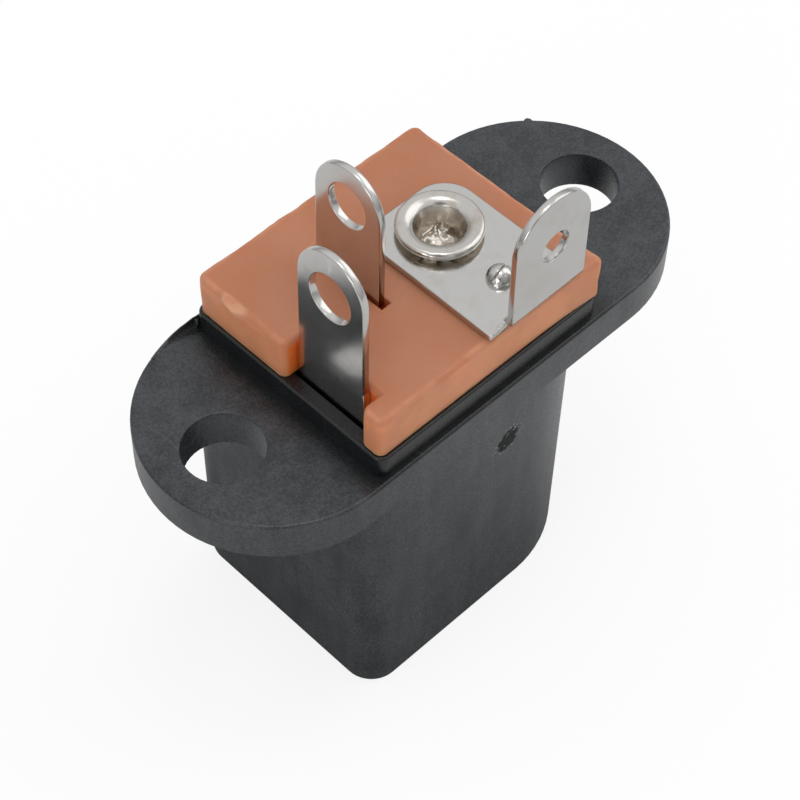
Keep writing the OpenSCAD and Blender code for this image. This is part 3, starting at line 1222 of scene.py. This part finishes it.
@dataclass
class PinTerminal:
    """The flat terminal round the pin's tail, with its upright tab and slotted pip."""

    edge: float = 0.06
    eye_edge: float = 0.03
    eye_reach: float = 0.72
    tab_z: float = 17.5
    pip: Span = (1.36, -3.01)
    blade: Triple = (1.4, 0.09, 0.5)
    blade_up: float = 0.75
    blade_turn: float = 11.0
    crumbs: int = 7
    crumb_start: Span = (-0.68, -4.56)
    crumb_pitch: float = 0.13
    finish: PlatedSheet = PlatedSheet("tin_plate", (0.61, 0.605, 0.59), (0.53, 0.50, 0.46), 0.13)

    def build(self) -> bpy.types.Object:
        """Softens the punched edges, slits the pip and leaves crumbs at the sheared end.

        Returns:
            The piece.
        """
        piece = Bench.copy_solid(Node.TERMINAL)
        Bench.round_edges(piece, self._width, 2)
        Bench.cut_away(piece, self._slit_tool())
        Bench.join(piece, self._crumbs())
        Bench.settle(piece, Node.TERMINAL, self.finish.material())
        return piece

    def _width(self, a: Vector, b: Vector) -> float:
        """Gives the width of the rounding on one edge.

        Args:
            a: One end, in millimetres.
            b: The other end.

        Returns:
            The width in millimetres.
        """
        middle = (a + b) / 2
        reach = (middle - mount_place("pin_wire_eye")).xz.length
        in_eye = middle.z > self.tab_z and reach < self.eye_reach
        return self.eye_edge if in_eye else self.edge

    def _slit_tool(self) -> bpy.types.Object:
        """Shapes the thin blade that slits the pip.

        Returns:
            The blade.
        """
        low, _ = Node.TERMINAL.box()
        place = Vector((*self.pip, low.z + self.blade_up))
        return Bench.block(place, Vector(self.blade), self.blade_turn)

    def _crumbs(self) -> list[bpy.types.Object]:
        """Makes the ragged crumbs along the sheared end of the flat.

        Returns:
            The crumbs.
        """
        low, _ = Node.TERMINAL.box()
        x, y = self.crumb_start
        crumbs = []
        for step in range(self.crumbs):
            wobble = noise.noise(Vector((step * 1.7, 0.4, 0)))
            up = low.z + 0.25 + wobble * 0.06
            place = Vector((x + step * self.crumb_pitch, y + wobble * 0.05, up))
            size = Vector((0.09, 0.06 + abs(wobble) * 0.05, 0.05))
            crumbs.append(Bench.crumb(place, size, step * 2.3, 0.8))
        return crumbs


@dataclass
class Lug:
    """A contact whose upper end is a leaning soldering lug."""

    node: Node
    eye_mount: str
    edge: float = 0.075
    eye_edge: float = 0.035
    eye_reach: float = 1.1
    buried: float = 0.5
    finish: PlatedSheet = PlatedSheet("nickel_plate", (0.64, 0.63, 0.61), (0.52, 0.49, 0.45), 0.13)

    def build(self) -> bpy.types.Object:
        """Softens the punched edges.

        Returns:
            The piece.
        """
        piece = Bench.copy_solid(self.node)
        Bench.round_edges(piece, self._width)
        Bench.settle(piece, self.node, self.finish.material())
        return piece

    def _width(self, a: Vector, b: Vector) -> float:
        """Gives the width of the rounding on one edge.

        Args:
            a: One end, in millimetres.
            b: The other end.

        Returns:
            The width in millimetres, 0 for none.
        """
        _, plate_top = Node.PLATE.box()
        middle = (a + b) / 2
        if min(a.z, b.z) < plate_top.z - self.buried:
            return 0
        in_eye = (middle - mount_place(self.eye_mount)).yz.length < self.eye_reach
        return self.eye_edge if in_eye else self.edge


# ---- studio


@dataclass
class Lamp:
    """A square soft box that looks at the part."""

    name: str
    azimuth: float
    elevation: float
    distance: float
    side: float
    level: float

    def build(self, aim: Vector) -> None:
        """Hangs the lamp.

        Args:
            aim: The point that it faces, in metres.
        """
        back = Studio.direction(self.azimuth, self.elevation)
        data = bpy.data.lights.new(self.name, "AREA")
        data.shape = "SQUARE"
        data.size = self.side
        data.energy = self.level * (math.pi * self.side) ** 2
        lamp = bpy.data.objects.new(self.name, data)
        lamp.location = aim + back * self.distance
        lamp.rotation_euler = (-back).to_track_quat("-Z", "Y").to_euler()
        bpy.context.scene.collection.objects.link(lamp)


@dataclass
class Studio:
    """Pale floor, soft light and the camera."""

    azimuth: float = -45.571
    elevation: float = 52.010
    roll: float = 1.285
    distance: float = 82.049
    aim: Triple = (-2.051, -1.617, 11.072)
    lens: float = 102.443
    floor_side: float = 3.0
    floor_tone: float = 0.70
    # Painted shade round the part: for bounce light and reflections the floor's tone falls to this level
    # near the part, centred at this X, over these squared distances.
    painted_shade_tone: float = 0.34
    painted_shade_x: float = -4.5
    near: Span = (45.0, 230.0)
    shine: float = 0.82
    horizon: float = 0.32
    zenith: float = 0.92
    mirrored: Triple = (0.42, 0.80, 1.15)
    cap: Span = (0.93, 0.985)
    card: float = 0.75
    card_drop: float = 8.0
    card_edge: Span = (0.92, 0.99)
    lamps: tuple[Lamp, ...] = (
        Lamp("overhead", 150, 86, 0.5, 0.12, 1.4),
        Lamp("key", 74, 42, 0.5, 0.44, 0.26),
        Lamp("side", -72, 22, 0.5, 0.2, 0.8),
    )

    @staticmethod
    def direction(azimuth: float, elevation: float) -> Vector:
        """Points away from the part.

        Args:
            azimuth: Degrees from the front, -Y, towards the right, +X.
            elevation: Degrees above the floor.

        Returns:
            The unit vector.
        """
        turn, rise = math.radians(azimuth), math.radians(elevation)
        flat = Vector((math.sin(turn), -math.cos(turn), 0)) * math.cos(rise)
        return flat + Vector((0, 0, math.sin(rise)))

    def build(self) -> None:
        """Sets up the whole studio."""
        self._floor()
        self._world()
        for lamp in self.lamps:
            lamp.build(Vector(self.aim) * MM)
        self._camera()
        bpy.context.scene.view_settings.view_transform = "Standard"

    def _camera(self) -> None:
        """Stands the camera beyond the part's near corner, looking down at it."""
        back = self.direction(self.azimuth, self.elevation)
        right = Vector((0, 0, 1)).cross(back).normalized()
        spin = Matrix.Rotation(math.radians(self.roll), 3, back)
        axes = Matrix((spin @ right, spin @ back.cross(right), back)).transposed()
        data = bpy.data.cameras.new("camera")
        data.lens = self.lens
        data.sensor_width = 36
        data.clip_start = 0.005
        data.clip_end = 10
        camera = bpy.data.objects.new("camera", data)
        stand = (Vector(self.aim) + back * self.distance) * MM
        camera.matrix_world = Matrix.Translation(stand) @ axes.to_4x4()
        bpy.context.scene.collection.objects.link(camera)
        bpy.context.scene.camera = camera

    def _floor(self) -> None:
        """Lays a pale floor with painted shade round the part, seen in bounce light and reflections, that
        is white to the eye but for the shadow.
        """
        Bench.pick()
        bpy.ops.mesh.primitive_grid_add(x_subdivisions=8, y_subdivisions=8, size=self.floor_side)
        floor = bpy.context.view_layer.objects.active
        floor.name = "floor"
        made = bpy.data.materials.new("pale_floor")
        tree = Tree(made)
        seen = tree.add("ShaderNodeLightPath", output="Is Camera Ray")
        x, y, _ = tree.axes(tree.place())
        # Painted shade: bounce light and reflections see the floor darker round the part, while the camera
        # sees it white.
        squared = (x - self.painted_shade_x) * (x - self.painted_shade_x) + y * y
        tone = self.painted_shade_tone + squared.between(*self.near) * (self.floor_tone - self.painted_shade_tone)
        colour = tree.blend(seen + (1 - seen) * tone, (0, 0, 0), (1, 1, 1))
        matt = tree.add("ShaderNodeBsdfDiffuse", inputs={"Color": colour})
        glow = tree.add("ShaderNodeEmission", inputs={"Color": (1, 1, 1, 1), "Strength": 1.0})
        tree.finish(tree.add("ShaderNodeMixShader", inputs={0: seen * self.shine, 1: matt, 2: glow}))
        floor.data.materials.append(made)

    def _world(self) -> None:
        """Lights the studio from above, with a dark card behind the camera, white to the eye."""
        world = bpy.data.worlds.new("studio")
        bpy.context.scene.world = world
        tree = Tree(world)
        way = tree.add("ShaderNodeTexCoord", output="Generated")
        rise = tree.add("ShaderNodeSeparateXYZ", inputs={0: way}, output=2)
        back = self.direction(self.azimuth, self.elevation - self.card_drop)
        towards = tree.add("ShaderNodeVectorMath", {"operation": "DOT_PRODUCT"}, {0: way, 1: back}, 1)
        seen = tree.add("ShaderNodeLightPath", output="Is Camera Ray")
        mirrored = tree.add("ShaderNodeLightPath", output="Is Glossy Ray")
        low, middle, high = self.mirrored
        soft = self.horizon + rise.between(0, 0.9) * (self.zenith - self.horizon)
        sharp = low + rise.between(0.1, 0.7) * (middle - low) + rise.between(*self.cap) * (high - middle)
        sharp = sharp * (1 - towards.between(*self.card_edge) * self.card)
        level = soft + mirrored * (sharp - soft)
        level = level + seen * (1 - level)
        tree.finish(tree.add("ShaderNodeBackground", inputs={"Color": (1, 1, 1, 1), "Strength": level}))


# ---- the whole part


def main() -> None:
    """Builds every piece in order."""
    logging.basicConfig(level=logging.INFO, format="%(name)s: %(message)s")
    noise.seed_set(SEED)
    Studio().build()
    Housing().build()
    TerminalPlate().build()
    CentrePin().build()
    PinTerminal().build()
    Lug(Node.SLEEVE, "sleeve_wire_eye").build()
    Lug(Node.SWITCH, "switch_wire_eye").build()


if __name__ == "__main__":
    main()
